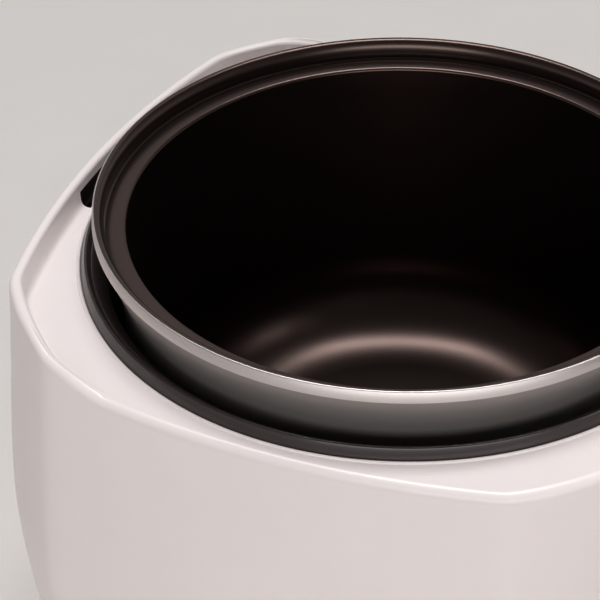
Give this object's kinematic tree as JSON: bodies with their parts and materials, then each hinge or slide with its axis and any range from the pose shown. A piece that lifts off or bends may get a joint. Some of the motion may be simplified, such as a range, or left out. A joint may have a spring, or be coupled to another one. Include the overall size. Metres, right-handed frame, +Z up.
{
  "type": "rice cooker",
  "caption": "Rice cooker with a bulged white housing, dark collar, lift-out pot, hinged domed lid standing open, front latch and buttons, steam cap and rear power inlet.",
  "frame": {"origin": "on the worktop, under the middle of the cooker and its open lid", "axes": "+Z up, -Y towards the front with the latch slot and the buttons, +X to the cooker's left as seen from its front"},
  "size_m": [0.214, 0.2964, 0.3688],
  "materials": {
    "white_plastic": "gloss",
    "dark_plastic": "satin",
    "liner_metal": "satin",
    "pot_metal": "satin",
    "cast_metal": "matte",
    "steel": "satin",
    "spring_steel": "satin",
    "ceramic": "matte",
    "base_plastic": "matte",
    "foot_rubber": "matte",
    "circuit_board": "satin",
    "inlet_plastic": "satin",
    "pin_brass": "polished",
    "fascia_plastic": "gloss",
    "button_plastic": "gloss",
    "lens_plastic": "gloss",
    "lid_liner_plastic": "satin",
    "inner_lid_metal": "satin",
    "gasket_rubber": "matte"
  },
  "bodies": {
    "housing": {"outer_shell": "white_plastic", "latch_catch": "dark_plastic", "pot_collar": "dark_plastic", "inner_liner": "liner_metal", "heater_plate": "cast_metal", "heating_element": "steel", "plate_posts": "steel", "thermal_fuse": "ceramic", "sensor_bracket": "steel", "sensor_spring": "spring_steel", "base_plate": "base_plastic", "rubber_feet": "foot_rubber", "base_screws": "steel", "power_board": "circuit_board", "power_inlet": "inlet_plastic", "inlet_pins": "pin_brass", "control_panel": "fascia_plastic", "lamp_lenses": "lens_plastic", "panel_board": "circuit_board", "hinge_pin": "steel", "hinge_spring": "spring_steel"},
    "pot": {"inner_pot": "pot_metal"},
    "sensor": {"sensor_cup": "cast_metal"},
    "cook_key": {"cook_button": "button_plastic"},
    "warm_key": {"warm_button": "button_plastic"},
    "lid": {"lid_shell": "white_plastic", "lid_liner": "lid_liner_plastic", "inner_lid": "inner_lid_metal", "lid_gasket": "gasket_rubber", "steam_cap": "lid_liner_plastic", "latch_pin": "steel", "latch_spring": "spring_steel"},
    "latch": {"latch_button": "button_plastic"}
  },
  "joints": [
    {"name": "pot_lift", "type": "slide", "parent": "housing", "child": "pot", "axis": [0, 0, 1], "range_m": [0, 0.15]},
    {"name": "lid_hinge", "type": "hinge", "parent": "housing", "child": "lid", "pos_m": [0, 0.07447, 0.157], "axis": [-1, 0, 0], "range_deg": [-100, 0], "stiffness_Nm_per_rad": 0.5, "springref_deg": 5.73},
    {"name": "latch_press", "type": "hinge", "parent": "lid", "child": "latch", "pos_m": [0, 0.13541, 0.35577], "axis": [1, 0, 0], "range_deg": [0, 1.6], "stiffness_Nm_per_rad": 1.5, "springref_deg": -1.15},
    {"name": "cook_press", "type": "slide", "parent": "housing", "child": "cook_key", "axis": [0, 1, 0], "range_m": [0, 0.0008], "stiffness_N_per_m": 1500, "springref_m": -0.0008},
    {"name": "warm_press", "type": "slide", "parent": "housing", "child": "warm_key", "axis": [0, 1, 0], "range_m": [0, 0.0008], "stiffness_N_per_m": 1500, "springref_m": -0.0008},
    {"name": "sensor_press", "type": "slide", "parent": "housing", "child": "sensor", "axis": [0, 0, 1], "range_m": [-0.003, 0], "stiffness_N_per_m": 700, "springref_m": 0.004, "deforming": ["sensor_spring"]}
  ]
}
